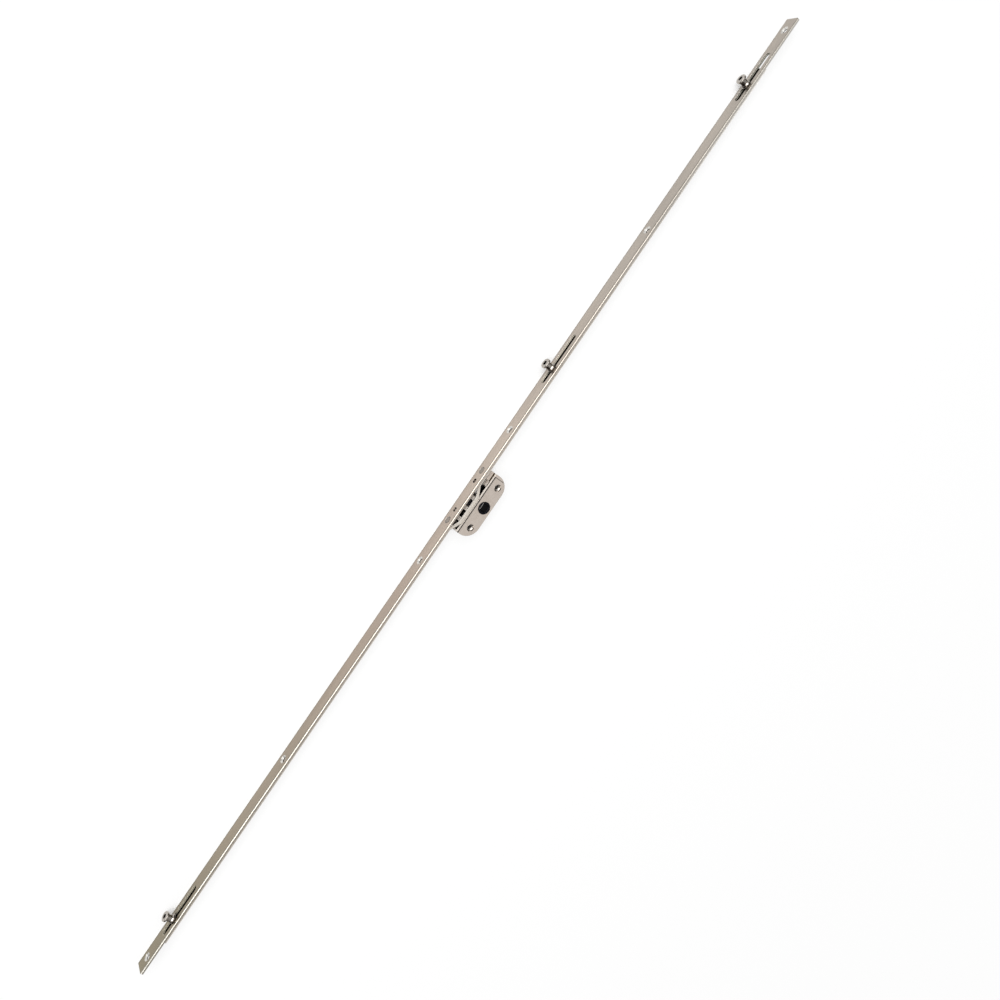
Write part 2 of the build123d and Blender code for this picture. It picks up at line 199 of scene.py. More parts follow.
glow = sheet_finish.node("ShaderNodeEmission", {}, {"Color": (1, 1, 1, 1), "Strength": 1.0})
paper = sheet_finish.node("ShaderNodeBsdfDiffuse", {}, {"Color": sheet_white})
open_sky = sheet_finish.node("ShaderNodeAmbientOcclusion", {"samples": 8}, {"Distance": shadow_reach}, 1)
looked_at = (ray("Camera") + ray("Transmission")) * sheet_finish.ramp(open_sky, (0.22, 0.0), (0.55, 1.0))
distance = abs(sheet_finish.axis("Y")) / mirror_reach
mirrored = ray("Glossy") * sheet_finish.ramp(open_sky, (0.0, 0.3), (0.6, 1.0))
mirrored = mirrored * sheet_finish.ramp(distance, (0.18, 1.0), (0.35, 0.35), (1.0, 0.12))
shaded = (looked_at + mirrored) * sheet_glow
surface = sheet_finish.node("ShaderNodeMixShader", {}, {0: shaded, 1: paper, 2: glow})
sheet_finish.node("ShaderNodeOutputMaterial", {}, {"Surface": surface})

bm = bmesh.new()
bmesh.ops.create_grid(bm, x_segments=1, y_segments=1, size=sheet_half_side,
                      matrix=Matrix.Translation((0, 0, cad_box[0][2])))
sheet_mesh = bpy.data.meshes.new("white_sheet")
bm.to_mesh(sheet_mesh)
bm.free()
sheet = bpy.data.objects.new("white_sheet", sheet_mesh)
sheet.data.materials.append(sheet_finish.owner)
scene.collection.objects.link(sheet)

# The room round it lights the lock: dim at the horizon, pale overhead, and dimmer behind the faceplate than
# before it. To the camera it is plain white.
room_heights = ((0.0, 0.04), (0.20, 0.18), (0.45, 0.85), (1.0, 1.0))
room_sides = ((0.0, 0.45), (0.40, 0.55), (0.62, 1.0), (1.0, 1.0))
room = Finish(bpy.data.worlds.new("studio_room"))
scene.world = room.owner
direction = room.node("ShaderNodeTexCoord", {}, {}, 0)
upward = room.node("ShaderNodeSeparateXYZ", {}, {0: direction}, 2)
forward = room.node("ShaderNodeSeparateXYZ", {}, {0: direction}, 1)
level = room.ramp(upward, *room_heights) * room.ramp(forward * 0.5 + 0.5, *room_sides)
level = level.math("MAXIMUM", level, room.node("ShaderNodeLightPath", {}, {}, "Is Camera Ray"))
backdrop = room.node("ShaderNodeBackground", {}, {"Color": level, "Strength": 1.0})
room.node("ShaderNodeOutputWorld", {}, {"Surface": backdrop})

# Lamps: a long softbox before the faceplate lights it from end to end, and two small ones open the shadows
lamps = {
    "softbox": ((0.0, 1.5, 1.75), (3.4, 1.0), 46.0),
    "fill": ((1.2, 1.0, 1.5), (1.0, 1.0), 4.0),
    "rim": ((0.2, -1.8, 0.9), (1.2, 1.2), 4.0),
}
for lamp_name, (lamp_place, lamp_sides, lamp_power) in lamps.items():
    lamp = bpy.data.lights.new(lamp_name, "AREA")
    lamp.shape = "RECTANGLE"
    lamp.size, lamp.size_y = lamp_sides
    lamp.energy = lamp_power
    holder = bpy.data.objects.new(lamp_name, lamp)
    holder.location = lamp_place
    holder.rotation_euler = (-Vector(lamp_place)).to_track_quat("-Z", "Y").to_euler()
    scene.collection.objects.link(holder)

# Camera, looking down on the near face of the case and a little on to the front of the faceplate
camera_place = Vector((19.75, 473.1, 821.9)) * mm
camera_right = Vector((0.5667, -0.7112, 0.4160)).normalized()
camera_back = Vector((0.0060, 0.5085, 0.8611))
camera_back = (camera_back - camera_right * camera_back.dot(camera_right)).normalized()
camera_up = camera_back.cross(camera_right)
camera_data = bpy.data.cameras.new("camera")
camera_data.lens = 37.98
camera_data.sensor_width = 36.0
camera_data.clip_start = 10 * mm
camera = bpy.data.objects.new("camera", camera_data)
turned = Matrix((camera_right, camera_up, camera_back)).transposed().to_4x4()
camera.matrix_world = Matrix.Translation(camera_place) @ turned
scene.collection.objects.link(camera)
scene.camera = camera

# Faceplate: one strip of steel with rolled front edges and a shallow hollow back, pierced for the cams and
# screws and plated to a satin nickel grey. The pierced edges have the small radius of a punch.
plate_low, plate_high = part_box("faceplate")
front = plate_high.y
face_back = plate_low.y
half_width = plate_high.z
web = 2.2 * mm
flange = 1.75 * mm
front_edge_radius = 1.0 * mm
back_edge_radius = 0.25 * mm
corner_radius = 1.2 * mm
web_back = front - web
hollow = half_width - flange
slot_length = 52.0 * mm
slot_width = 6.2 * mm
lower_slot_margin = 63.5 * mm
middle_slot_centre = 147.0 * mm
upper_slot_margin = 62.5 * mm
slot_places = [plate_low.x + lower_slot_margin, middle_slot_centre, plate_high.x - upper_slot_margin]
screw_distances = [spacing / 2 * mm for spacing in (141.0, 571.0, 1000.0)]
screw_places = [side * distance for distance in screw_distances for side in (-1, 1)]
screw_hole = 4.6 * mm
screw_sink = 7.6 * mm
sink_flare = 0.12 * mm
sink_flare_depth = 0.05 * mm
peep_hole = 4.4 * mm
peep_lip = 0.15 * mm
peep_place = 15.5 * mm
post_place = 26.7 * mm
rivet_head = 6.7 * mm
rivet_head_depth = 1.2 * mm
rivet_seat_break = 0.1 * mm
punch_radius = 0.25 * mm
past = 1.0 * mm
weld_reach = 0.0005 * mm
round_steps = 64


def ring(bm, radius, height, centre=(0, 0), stretch=0.0, steps=round_steps, axis="Y"):
    """One closed ring of points square to an axis, pulled apart along X for a slot. Gives its edges."""
    turn = Matrix.Rotation(-pi / 2, 4, "X") if axis == "Y" else Matrix.Identity(4)
    half_step = Matrix.Rotation(pi / steps, 4, "Z")
    made = bmesh.ops.create_circle(bm, segments=steps, radius=radius, matrix=turn @ half_step)["verts"]
    for vert in made:
        if abs(stretch) > 0:
            vert.co.x += stretch if vert.co.x > 0 else -stretch
        if axis == "Y":
            vert.co += Vector((centre[0], height, centre[1]))
        else:
            vert.co += Vector((centre[0], centre[1], height))
    return list({edge for vert in made for edge in vert.link_edges})


def sleeve(bm, profile, **where):
    """A turned skin from radii and heights, open unless it ends as it began. Gives its rings."""
    rings = [ring(bm, radius, height, **where) for radius, height in profile]
    for first, second in zip(rings, rings[1:]):
        bmesh.ops.bridge_loops(bm, edges=first + second)
    return rings


def stack(bm, profile, **where):
    """A closed turned form, or a slot, from radii and heights along its axis."""
    rings = sleeve(bm, profile, **where)
    for end in (rings[0], rings[-1]):
        bmesh.ops.contextual_create(bm, geom=end)


def arc(centre, radius, start, end, steps=5):
    """Points of a rounded corner in a profile, in degrees from the first axis."""
    angles = [radians(start + (end - start) * step / steps) for step in range(steps + 1)]
    return [(centre[0] + radius * cos(angle), centre[1] + radius * sin(angle)) for angle in angles]


def as_object(name, bm):
    """A bmesh as an object in the scene."""
    bmesh.ops.recalc_face_normals(bm, faces=bm.faces)
    mesh = bpy.data.meshes.new(name)
    bm.to_mesh(mesh)
    bm.free()
    made = bpy.data.objects.new(name, mesh)
    scene.collection.objects.link(made)
    return made


def cut(bm, cutters, operation="DIFFERENCE"):
    """A bmesh with the forms of another taken out of it, or kept."""
    body = as_object("body", bm)
    tool = as_object("tool", cutters)
    modifier = body.modifiers.new("cut", "BOOLEAN")
    modifier.operation = operation
    modifier.object = tool
    modifier.solver = "EXACT"
    modifier.use_self = True
    result = bmesh.new()
    result.from_object(body, bpy.context.evaluated_depsgraph_get())
    for spent in (body, tool):
        bpy.data.objects.remove(spent)
    return result


def finished(name, bm, body, finish, nodes=(), crease=32.0, bevel=0.0):
    """Closes a bmesh as a piece that rides on a body, with even shading between its creases."""
    bmesh.ops.remove_doubles(bm, verts=bm.verts, dist=weld_reach)
    bmesh.ops.recalc_face_normals(bm, faces=bm.faces)
    for face in bm.faces:
        face.smooth = True
    for edge in bm.edges:
        edge.smooth = edge.calc_face_angle(0.0) < radians(crease)
    piece = as_object(name, bm)
    if bevel > 0:
        rounding = piece.modifiers.new("rounding", "BEVEL")
        rounding.width = bevel
        rounding.segments = 3
        rounding.limit_method = "ANGLE"
        rounding.angle_limit = radians(crease)
        rounding.harden_normals = False
    shading = piece.modifiers.new("even_shading", "WEIGHTED_NORMAL")
    shading.keep_sharp = True
    piece.data.materials.append(finish)
    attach(piece, body)
    if nodes:
        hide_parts(*nodes)
    return piece


def drawn_out(bm, faces, run):
    """Extrudes faces along one vector."""
    grown = bmesh.ops.extrude_face_region(bm, geom=faces)
    moved = [item for item in grown["geom"] if isinstance(item, bmesh.types.BMVert)]
    bmesh.ops.translate(bm, vec=run, verts=moved)


def bent(bm, loops, low, high, axis):
    """A bar whose section is a closed outline with rounded corners, run from low to high along X or Z."""
    verts = []
    for first, second, radius in loops:
        at = (low, first, second) if axis == "X" else (first, second, low)
        verts.append((bm.verts.new(at), radius))
    bm.faces.new([vert for vert, radius in verts])
    for radius in sorted({radius for vert, radius in verts if radius > 0}):
        corners = [vert for vert, size in verts if size == radius]
        bmesh.ops.bevel(bm, geom=corners, offset=radius, offset_type="OFFSET", segments=6, profile=0.5,
                        affect="VERTICES", material=-1)
    run = (high - low, 0, 0) if axis == "X" else (0, 0, high - low)
    drawn_out(bm, list(bm.faces), run)


section = [(front, -half_width, front_edge_radius), (front, half_width, front_edge_radius),
           (face_back, half_width, back_edge_radius), (face_back, hollow, 0), (web_back, hollow, 0),
           (web_back, -hollow, 0), (face_back, -hollow, 0), (face_back, -half_width, back_edge_radius)]
strip = bmesh.new()
bent(strip, section, plate_low.x, plate_high.x, "X")


def window(bm, low, high, half, corner, start, depth):
    """A block square to the front face whose corners are rounded in plan."""
    plan = ((low, -half), (high, -half), (high, half), (low, half))
    corners = [bm.verts.new((x, start, z)) for x, z in plan]
    bm.faces.new(corners)
    rounded = bmesh.ops.bevel(bm, geom=corners, offset=corner, offset_type="OFFSET", segments=5, profile=0.5,
                              affect="VERTICES", material=-1)
    drawn_out(bm, list(rounded["verts"][0].link_faces), (0, depth, 0))


outline = bmesh.new()
window(outline, plate_low.x, plate_high.x, half_width, corner_radius,
       start=face_back - past, depth=front - face_back + 2 * past)
strip = cut(strip, outline, "INTERSECT")


def punched(radius, low, high, edge=punch_radius):
    """Profile of a punched hole: straight, with a small lip that rolls into the front face."""
    lip = [(radius + edge * (1 - sin(angle)), high - edge * (1 - cos(angle)))
           for angle in (radians(step * 18) for step in range(5, -1, -1))]
    return [(radius, low - past)] + lip + [(radius + edge, high + past)]


def countersunk(radius, sink, low, high):
    """Profile of a countersunk screw hole, whose rim flares a little into the front face."""
    return [(radius, low - past), (radius, high - (sink - radius)), (sink, high - sink_flare_depth),
            (sink + sink_flare, high), (sink + sink_flare, high + past)]


holes = bmesh.new()
for place in slot_places:
    stack(holes, punched(slot_width / 2, face_back, front), centre=(place, 0),
          stretch=(slot_length - slot_width) / 2)
for place in screw_places:
    stack(holes, countersunk(screw_hole / 2, screw_sink / 2, face_back, front), centre=(place, 0))
for side in (-1, 1):
    stack(holes, punched(peep_hole / 2, face_back, front, peep_lip), centre=(side * peep_place, 0))
    seat = [(rivet_head / 2, front - rivet_head_depth), (rivet_head / 2, front - rivet_seat_break),
            (rivet_head / 2 + rivet_seat_break, front), (rivet_head / 2 + rivet_seat_break, front + past)]
    stack(holes, seat, centre=(side * post_place, 0))
strip = cut(strip, holes)

# The plating is brushed along the strip and a little mottled, with painted shade along the rolled edges
plate_tints = [(0.0, (0.30, 0.26, 0.18, 1)), (0.40, (0.50, 0.41, 0.34, 1)), (0.55, (0.59, 0.505, 0.43, 1)),
               (0.75, (0.485, 0.435, 0.38, 1))]
satin_nickel = Finish(bpy.data.materials.new("satin_nickel"))
grain = satin_nickel.noise(satin_nickel.place((14, 900, 900)), 1.0, 6.0, 0.62)
cloud = satin_nickel.noise(satin_nickel.place((9, 60, 60)), 1.0, 3.0, 0.55)
along_plate, out_of_plate = satin_nickel.axis("X"), satin_nickel.axis("Y")
across_plate = abs(satin_nickel.axis("Z"))
lengthwise = (along_plate - plate_low.x) / (plate_high.x - plate_low.x)
edge_place = across_plate / half_width
# Painted shade: a darker line where the rolled edge begins, fainter towards the upper end
painted_edge_shade = satin_nickel.ramp(edge_place, (0.75, 0.0), (0.80, 1.0), (0.87, 1.0), (0.91, 0.0))
mottle_and_edge_shade = satin_nickel.ramp(cloud, (0.3, 0.86), (0.7, 1.0))
mottle_and_edge_shade = mottle_and_edge_shade * (1 - painted_edge_shade * satin_nickel.ramp(lengthwise, (0.0, 0.5), (0.8, 0.4), (1.0, 0.1)))
tint = satin_nickel.node("ShaderNodeValToRGB", {"stops": plate_tints}, {"Fac": lengthwise})
tint = satin_nickel.mix(1.0, tint, mottle_and_edge_shade, "MULTIPLY")

# The rolled edge has a painted highlight low down and painted shade at the upper end, and the flank is
# painted paler than the face as painted light, most at the upper end
skin = 0.1 * mm
rolled = satin_nickel.ramp(edge_place, (0.87, 0.0), (0.91, 1.0)) * (out_of_plate > front - front_edge_radius)
painted_edge_highlight = rolled * satin_nickel.ramp(lengthwise, (0.0, 0.75), (0.35, 0.45), (0.6, 0.15), (0.8, 0.0))
tint = satin_nickel.mix(painted_edge_highlight, tint, (0.90, 0.87, 0.79, 1))
painted_upper_edge_shade = rolled * satin_nickel.ramp(lengthwise, (0.75, 0.0), (0.92, 0.55))
tint = satin_nickel.mix(painted_upper_edge_shade, tint, (0.24, 0.23, 0.20, 1))
painted_flank_light = satin_nickel.ramp(abs(satin_nickel.facing("Z")), (0.9, 0.0), (0.97, 1.0))
painted_flank_light = painted_flank_light * (across_plate > half_width - skin)
painted_flank_light = painted_flank_light * satin_nickel.ramp(lengthwise, (0.0, 0.30), (0.7, 0.26), (0.95, 0.70))
tint = satin_nickel.mix(painted_flank_light, tint, (0.90, 0.86, 0.80, 1))

# The walls of slots and holes are painted darker towards the ends of the strip and at the lip, and black at
# the back, all as painted shade. The sinks are painted bright: bare metal with a painted highlight.
wall_tints = [(0.06, (0.37, 0.34, 0.26, 1)), (0.64, (0.56, 0.51, 0.42, 1)), (0.92, (0.30, 0.29, 0.24, 1))]
wall_start = 0.15 * mm
lip_depth = 0.8 * mm
sink_reach = 4.0 * mm
bore_reach = 0.2 * mm
slot_shade_height = 0.5 * mm
peep_side = 0.75 * mm
peep_shade_depth = 0.9 * mm
from_middle = abs(along_plate)
from_peep = abs(from_middle - peep_place)
peep_wall = from_peep * from_peep + across_plate * across_plate < (peep_hole / 2 + skin) ** 2
peep_wall = peep_wall * (out_of_plate < front - skin)
forward_facing = satin_nickel.facing("Y")
slot_wall = (across_plate < slot_width / 2 + skin) * (out_of_plate < front - wall_start) * (1 - peep_wall)
slot_wall = slot_wall * (abs(forward_facing) < 0.5)
wall_tint = satin_nickel.node("ShaderNodeValToRGB", {"stops": wall_tints}, {"Fac": lengthwise})
tint = satin_nickel.mix(slot_wall, tint, wall_tint)
upper_lip = slot_wall * (out_of_plate > front - lip_depth)
lip_shade = satin_nickel.ramp(lengthwise, (0.06, 0.25), (0.64, 0.3), (0.92, 0.85))
tint = satin_nickel.mix(upper_lip * lip_shade, tint, (0.06, 0.05, 0.04, 1))
sink = satin_nickel.ramp(forward_facing, (0.55, 0.0), (0.62, 0.8), (0.85, 0.8), (0.93, 0.0))
tint = satin_nickel.mix(sink * (across_plate < sink_reach), tint, (0.80, 0.79, 0.76, 1))
screw_bore = slot_wall * (from_middle.nearest(screw_distances) < screw_hole / 2 + bore_reach)
painted_slot_shade = slot_wall * (out_of_plate < web_back + slot_shade_height) * (1 - screw_bore)
upper_peep = (along_plate > 0) * (out_of_plate > front - peep_shade_depth)
painted_hole_shade = painted_slot_shade + screw_bore + peep_wall * ((from_peep > peep_side) + upper_peep)
tint = satin_nickel.mix(painted_hole_shade * 0.95, tint, (0.015, 0.013, 0.011, 1))
roughness = 0.34 + grain * 0.14 - rolled * satin_nickel.ramp(lengthwise, (0.6, 0.18), (0.9, 0.0))
nickel = satin_nickel.metal(tint, roughness, grain, 0.012 * mm, metallic=1 - slot_wall + painted_hole_shade)
finished("pierced_faceplate", strip, "case", nickel, ["faceplate"])

# Drive rod: one strip of zinc-plated steel that slides behind the faceplate. Its middle is cranked back to
# the spindle and pierced there as a ladder for the sector's teeth. Long slots clear the posts and screws.
stroke = 18.0 * mm
rod_low, rod_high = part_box("drive_rod")
rod_shift = -stroke / 2
rod_thickness = 2.3 * mm
rod_front = rod_high.y
ladder_depth = 9.6 * mm
ladder_middle = front - ladder_depth
ladder_half = 13.3 * mm
ramp_length = 11.0 * mm
crank_radius = 3.0 * mm
rung_pitch = 11.0 * mm
rung_width = 3.8 * mm
window_half = 3.5 * mm
window_corner = 0.5 * mm
cutter_start = 3.0 * mm
cutter_depth = 16.0 * mm
pass_end = 40.7 * mm
rod_slot_radius = 3.0 * mm
rod_slot_play = 0.6 * mm
rod_half_width = (rod_high.z - rod_low.z) / 2
cam_margin = 20.5 * mm
middle_cam_place = 136.5 * mm
cam_places = [rod_low.x + cam_margin, middle_cam_place, rod_high.x - cam_margin]

rise = rod_front - rod_thickness / 2 - ladder_middle
slope = atan2(rise, ramp_length)
lean = rod_thickness / 2 * tan(slope / 2)
bend = crank_radius * tan(slope / 2)
ramp_end = ladder_half + ramp_length
upper = [(rod_low.x, rod_front, 0), (rod_shift - ramp_end - lean, rod_front, bend),
         (rod_shift - ladder_half - lean, ladder_middle + rod_thickness / 2, bend),
         (rod_shift + ladder_half + lean, ladder_middle + rod_thickness / 2, bend),
         (rod_shift + ramp_end + lean, rod_front, bend), (rod_high.x, rod_front, 0)]
rod_back = rod_front - rod_thickness
lower = [(rod_high.x, rod_back, 0), (rod_shift + ramp_end - lean, rod_back, bend),
         (rod_shift + ladder_half - lean, ladder_middle - rod_thickness / 2, bend),
         (rod_shift - ladder_half + lean, ladder_middle - rod_thickness / 2, bend),
         (rod_shift - ramp_end + lean, rod_back, bend), (rod_low.x, rod_back, 0)]
bar = bmesh.new()
bent(bar, upper + lower, -rod_half_width, rod_half_width, "Z")

openings = bmesh.new()
clear_length = rung_pitch - rung_width
pass_start = rung_pitch + rung_width / 2
through = (window_corner, ladder_middle - cutter_start, cutter_depth)
for side in (-1, 1):
    middle = rod_shift + side * rung_pitch / 2
    window(openings, middle - clear_length / 2, middle + clear_length / 2, window_half, *through)
    inner, outer = sorted((rod_shift + side * pass_start, rod_shift + side * pass_end))
    window(openings, inner, outer, window_half, *through)
for place in screw_places:
    if rod_low.x < place + rod_shift < rod_high.x:
        stack(openings, [(rod_slot_radius, rod_back - past), (rod_slot_radius, rod_front + past)],
              centre=(place + rod_shift, 0), stretch=(stroke + rod_slot_play) / 2)
bar = cut(bar, openings)

# The zinc is painted lighter on the ladder's forward faces and on its near edge towards the upper end, as
# painted light. Painted shade darkens it beside the windows, and painted shadow blackens their lower walls
# and the middle of the front face, behind the faceplate's slots.
lit_ladder_depth = 3.5 * mm
window_shade_below = 0.3 * mm
rung_shade_start = 2.6 * mm
rung_shade_depth = 8.0 * mm
slot_shadow_skin = 0.05 * mm
slot_shadow_margin = 0.5 * mm
dull_zinc = Finish(bpy.data.materials.new("dull_zinc"))
spangle = dull_zinc.noise(dull_zinc.place(), 900.0, 4.0, 0.6)
streak = dull_zinc.noise(dull_zinc.place((25, 1200, 1200)), 1.0, 4.0, 0.6)
flecks = dull_zinc.ramp(spangle, (0.3, 0.0), (0.7, 1.0))
zinc_tint = dull_zinc.mix(flecks, (0.54, 0.49, 0.43, 1), (0.72, 0.66, 0.59, 1))
along_rod, out_of_rod, across_rod = [dull_zinc.axis(name) for name in "XYZ"]
from_ladder = abs(along_rod - rod_shift)
painted_ladder_light = dull_zinc.ramp(dull_zinc.facing("Y"), (0.55, 0.0), (0.8, 1.0)) * (out_of_rod < front - lit_ladder_depth)
zinc_tint = dull_zinc.mix(painted_ladder_light, zinc_tint, (0.92, 0.87, 0.80, 1))
painted_upper_end_light = dull_zinc.ramp(along_rod / rod_high.x, (0.5, 0.0), (0.9, 0.6))
painted_upper_end_light = painted_upper_end_light * (dull_zinc.facing("Z") > 0.8)
zinc_tint = dull_zinc.mix(painted_upper_end_light, zinc_tint, (0.94, 0.92, 0.88, 1))
painted_window_shade = across_rod.between(-window_half - window_shade_below, -window_half + skin) * (from_ladder < pass_end)
painted_rung_shade = across_rod.between(rung_shade_start, window_half) * (from_ladder < ladder_half)
painted_rung_shade = painted_rung_shade * (out_of_rod < front - rung_shade_depth)
painted_slot_shadow = (out_of_rod > rod_front - slot_shadow_skin) * (abs(across_rod) < slot_width / 2 + slot_shadow_margin)
zinc_tint = dull_zinc.mix(painted_rung_shade * 0.85, zinc_tint, (0.03, 0.027, 0.022, 1))
zinc_tint = dull_zinc.mix(painted_slot_shadow + painted_window_shade, zinc_tint, (0.008, 0.007, 0.006, 1))
metallic = 0.4 - painted_ladder_light * 0.4 - painted_upper_end_light * 0.4 + (painted_slot_shadow + painted_window_shade)
zinc = dull_zinc.metal(zinc_tint, 0.44 + streak * 0.16, spangle + streak, 0.006 * mm, metallic=metallic)
finished("cranked_ladder_rod", bar, "rod", zinc, ["drive_rod"])

# Gear case: a cast half with a flat cover let into its near side, both finely grained and plated. A copy of
# each solid is merged and its edges are broken as a tumbled casting's are. The inside is painted black as
# shade.
cast_edge = 0.22 * mm
merge_reach = 0.001 * mm
chamber_low, chamber_high = -29.7 * mm, 16.85 * mm
chamber_floor, chamber_top = -7.0 * mm, 9.0 * mm
chamber_far, chamber_near = -4.05 * mm, 4.55 * mm
rail_low, rail_high, rail_near = 8.9 * mm, 9.2 * mm, -2.9 * mm
groove_floor, groove_top = 6.0 * mm, 10.25 * mm
groove_far, groove_near = 0.65 * mm, 3.5 * mm
bright_top = 8.0 * mm
cover_skin = 5.7 * mm
seam_low, seam_high = 7.85 * mm, 9.08 * mm
rim_seam_low, rim_seam_high = 28.15 * mm, 28.75 * mm
case_low, case_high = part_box("case_body")


def rounded_copy(node):
    """The merged mesh of a solid, with its flat faces whole again."""
    bm = bmesh.new()
    bm.from_mesh(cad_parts[node].data)
    bmesh.ops.remove_doubles(bm, verts=bm.verts, dist=merge_reach)
    bmesh.ops.dissolve_limit(bm, angle_limit=radians(0.6), use_dissolve_boundaries=False,
                             verts=bm.verts, edges=bm.edges)
    return bm


casting = Finish(bpy.data.materials.new("grained_casting"))
sand = casting.noise(casting.place(), 1500.0, 5.0, 0.65)
blotch = casting.noise(casting.place(), 160.0, 3.0, 0.6)
grains = casting.ramp(sand, (0.35, 0.0), (0.65, 1.0))
case_tint = casting.mix(grains, (0.43, 0.37, 0.32, 1), (0.61, 0.54, 0.48, 1))
case_tint = casting.mix(casting.ramp(blotch, (0.4, 0.0), (0.75, 0.5)), case_tint, (0.61, 0.55, 0.50, 1))
along_case, out_of_case, across_case = [casting.axis(name) for name in "XYZ"]
# Painted shade: the chamber inside the case and the top of its far rail are painted black
shaded_chamber = along_case.between(chamber_low, chamber_high) * out_of_case.between(chamber_floor, chamber_top)
shaded_chamber = shaded_chamber * across_case.between(chamber_far, chamber_near)
shaded_chamber = shaded_chamber * (casting.facing("X") > -0.15) * (casting.facing("Y") > -0.15)
shaded_rail_top = out_of_case.between(rail_low, rail_high) * (across_case < rail_near) * (along_case < chamber_high)
# Painted shade: the groove on the near face beyond the chamber is painted dark brown
painted_groove_shade = across_case.between(groove_far, groove_near) * out_of_case.between(groove_floor, groove_top)
painted_groove_shade = painted_groove_shade * (along_case > chamber_high) * (casting.facing("X") < 0.5)
# Painted light: upward faces along the case's top are painted paler and less metallic
painted_top_light = casting.ramp(casting.facing("Y"), (0.55, 0.0), (0.8, 1.0)) * (out_of_case > bright_top)
case_tint = casting.mix(painted_top_light, case_tint, (0.90, 0.84, 0.77, 1))
on_cover = across_case > cover_skin
rim_seam = on_cover * along_case.between(rim_seam_low, rim_seam_high)
seam = on_cover * out_of_case.between(seam_low, seam_high) * (along_case < rim_seam_high)
case_tint = casting.mix(seam * 0.95 + rim_seam * 0.8, case_tint, (0.05, 0.042, 0.035, 1))
case_tint = casting.mix(painted_groove_shade, case_tint, (0.10, 0.065, 0.03, 1))
painted_inner_shade = shaded_chamber + shaded_rail_top
case_tint = casting.mix(painted_inner_shade, case_tint, (0.003, 0.0028, 0.0026, 1))
metallic = 0.45 - painted_top_light * 0.45 + painted_inner_shade
cast_metal = casting.metal(case_tint, 0.50 + blotch * 0.12, sand, 0.03 * mm, metallic=metallic)
for name, node in (("cast_case", "case_body"), ("case_cover_plate", "case_cover")):
    finished(name, rounded_copy(node), "case", cast_metal, [node], bevel=cast_edge)

# Follower: a steel hub with a square socket for the handle's spindle, and a sector of two teeth that drives
# the ladder. It is blackened all over and turns between the case and its cover.
follower_edge = 0.12 * mm
black_oxide = Finish(bpy.data.materials.new("black_oxide"))
soot = black_oxide.noise(black_oxide.place(), 1200.0, 4.0, 0.6)
black_tint = black_oxide.mix(soot, (0.008, 0.008, 0.010, 1), (0.020, 0.019, 0.025, 1))
blackened = black_oxide.metal(black_tint, 0.56 + soot * 0.12, soot, 0.01 * mm)
finished("blackened_follower", rounded_copy("follower"), "follower", blackened,
         ["follower"], bevel=follower_edge)

# Handle screw bushes: two turned steel rings, one on either side of the hub, for the handle's screws. Each
# goes right through the case, is threaded between two countersunk mouths, and is plated with bright nickel.
bush_radius = 3.5 * mm
bush_break = 0.15 * mm
bush_mouth = 3.2 * mm
bush_place = 21.5 * mm
thread_root = 2.5 * mm
thread_crest = 2.1 * mm
thread_pitch = 0.8 * mm
thread_margin = 1.2 * mm
ridge_root = 0.05 * mm
ridge_foot = 0.34 * mm
ridge_tip = 0.06 * mm
turn_steps = 48


def bush(x):
    """A turned ring with a plain bore between two countersunk mouths."""
    bm = bmesh.new()
    low, high = case_low.z, case_high.z
    depth = bush_mouth - thread_crest
    profile = [(bush_mouth, high), (bush_radius - bush_break, high), (bush_radius, high - bush_break),
               (bush_radius, low + bush_break), (bush_radius - bush_break, low), (bush_mouth, low),
               (thread_root, low + depth), (thread_root, high - depth), (bush_mouth, high)]
    sleeve(bm, profile, centre=(x, 0), steps=turn_steps, axis="Z")
    return bm


def thread(x):
    """The thread's ridge, spun up the bore as one helix."""
    bm = bmesh.new()
    low, high = case_low.z + thread_margin, case_high.z - thread_margin
    ridge = [(thread_root + ridge_root, -ridge_foot), (thread_crest, -ridge_tip), (thread_crest, ridge_tip),
             (thread_root + ridge_root, ridge_foot)]
    verts = [bm.verts.new((x + radius, 0, low + offset)) for radius, offset in ridge]
    edges = [bm.edges.new(pair) for pair in zip(verts, verts[1:])]
    turns = (high - low) / thread_pitch
    bmesh.ops.spin(bm, geom=verts + edges, cent=(x, 0, 0), axis=(0, 0, 1), angle=2 * pi * turns,
                   dvec=(0, 0, (high - low) / (turns * turn_steps)), steps=int(turns * turn_steps))
    return bm


bright_nickel = Finish(bpy.data.materials.new("bright_nickel"))
turning = bright_nickel.noise(bright_nickel.place((400, 400, 2500)), 1.0, 3.0, 0.6)
# Painted shade: each bush is painted dark towards its far end, so that the bore looks dark at depth
shade_end = 1.5 * mm
shade_length = 3.5 * mm
depth_shade = bright_nickel.ramp((bright_nickel.axis("Z") - shade_end) / shade_length, (0.0, 0.0), (1.0, 1.0))
bright_tint = bright_nickel.mix(depth_shade, (0.012, 0.011, 0.010, 1), (0.52, 0.48, 0.44, 1))
bright = bright_nickel.metal(bright_tint, 0.16 + turning * 0.12, turning, 0.004 * mm)
for name, x in (("lower", -bush_place), ("upper", bush_place)):
    finished(name + "_threaded_bush", bush(x), "case", bright, [name + "_handle_bush"])
    finished(name + "_bush_thread", thread(x), "case", bright, crease=50)

# Posts: the lower one is shouldered and carries the case, the upper one is a rivet into the lug. Both are
# plain steel, and both heads are ground flush with the front face, so that only a thin line shows round each.
shank = 1.8 * mm
shoulder = 2.5 * mm
trough_floor = 4.6 * mm
tail = 2.4 * mm
rivet_length = 8.0 * mm
lip = 0.12 * mm
below_flush = 0.02 * mm
head_low = front - rivet_head_depth
head_line = 0.4 * mm
bright_depth = 1.5 * mm

